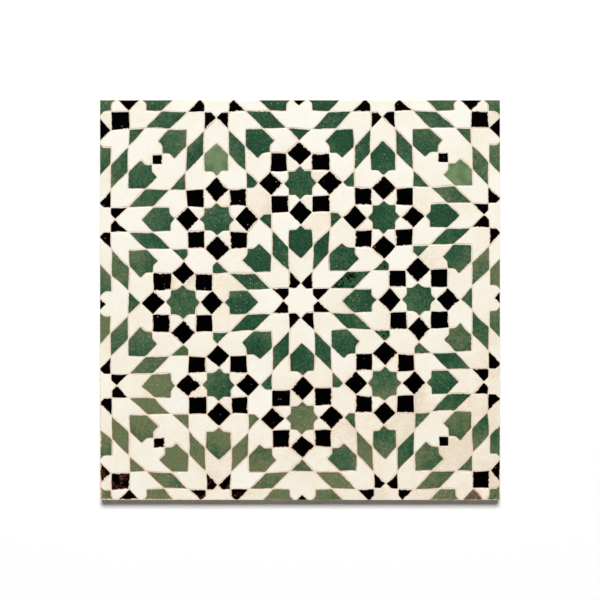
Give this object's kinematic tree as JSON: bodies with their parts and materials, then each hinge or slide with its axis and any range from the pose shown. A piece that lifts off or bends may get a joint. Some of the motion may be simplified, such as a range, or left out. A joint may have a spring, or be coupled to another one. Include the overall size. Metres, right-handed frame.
{
  "type": "moroccan mosaic tile",
  "caption": "Square mosaic panel of hand-cut white, green and black glazed clay pieces in an eight-fold star and rosette pattern, set in a flat mortar bed.",
  "frame": {"origin": "middle of the panel's back face, on the floor it lies on", "axes": "+Z out of the glazed face, +X to the right and +Y to the top of the pattern as pictured"},
  "size_m": [0.6, 0.6, 0.022],
  "materials": {
    "white_glaze": "gloss",
    "green_glaze": "gloss",
    "black_glaze": "gloss",
    "mortar": "matte"
  },
  "bodies": {
    "root": {"mortar_bed": "mortar", "white_stars": "white_glaze", "green_stars": "green_glaze", "black_kites": "black_glaze", "white_kites": "white_glaze", "black_squares": "black_glaze", "white_chevrons": "white_glaze", "green_lozenges": "green_glaze", "green_shields": "green_glaze", "white_hoods": "white_glaze", "white_octagons": "white_glaze", "green_kites": "green_glaze", "small_black_squares": "black_glaze", "white_claws": "white_glaze", "green_triangles": "green_glaze"}
  },
  "joints": []
}
